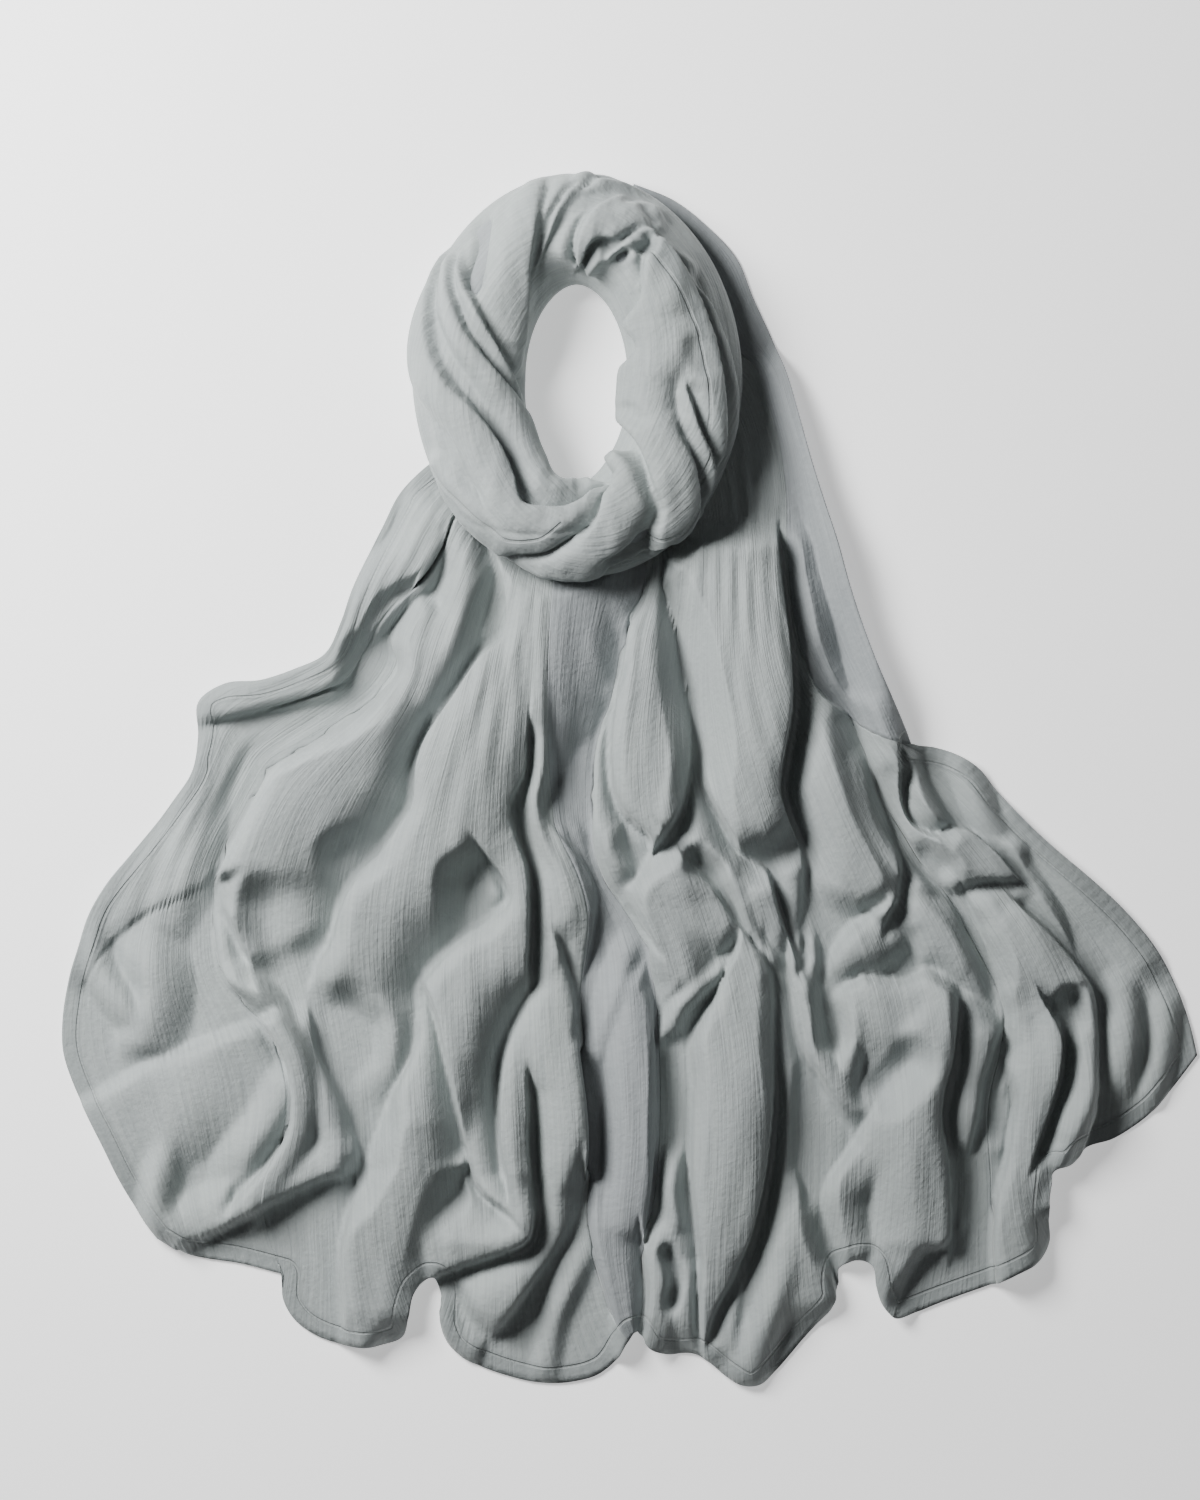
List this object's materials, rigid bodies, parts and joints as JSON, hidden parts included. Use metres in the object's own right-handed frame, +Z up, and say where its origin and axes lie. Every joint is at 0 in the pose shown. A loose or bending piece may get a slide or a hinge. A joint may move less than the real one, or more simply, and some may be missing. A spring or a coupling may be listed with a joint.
{
  "type": "hijab headscarf",
  "caption": "Rectangular hijab headscarf in sage grey viscose, wound into an oval ring and laid flat with both hemmed ends spread out below the ring in long soft folds.",
  "frame": {"origin": "centre of the bounding box in plan, at the surface the scarf lies on", "axes": "+Z up from the surface, +Y from the spread ends towards the wound ring, +X to the right as the scarf is seen from above with the ring away from the viewer"},
  "size_m": [0.6801, 0.7231, 0.0469],
  "materials": {
    "scarf_cloth": "matt slubbed viscose voile with a faint sheen",
    "scarf_cloth_inside": "matt slubbed viscose voile, the same cloth where it lies further in"
  },
  "bodies": {
    "root": {"ring_core": "scarf_cloth_inside", "ring_left_band": "scarf_cloth", "ring_pleated_band": "scarf_cloth", "ring_front_band": "scarf_cloth", "ring_right_band": "scarf_cloth", "ring_top_band": "scarf_cloth", "ring_outer_band": "scarf_cloth", "ring_inner_top_band": "scarf_cloth", "ring_low_right_band": "scarf_cloth", "end_left_outer": "scarf_cloth", "end_left_front": "scarf_cloth", "middle_stretch": "scarf_cloth_inside", "end_right_front": "scarf_cloth", "end_right_outer": "scarf_cloth", "back_stretch": "scarf_cloth_inside"}
  },
  "joints": []
}
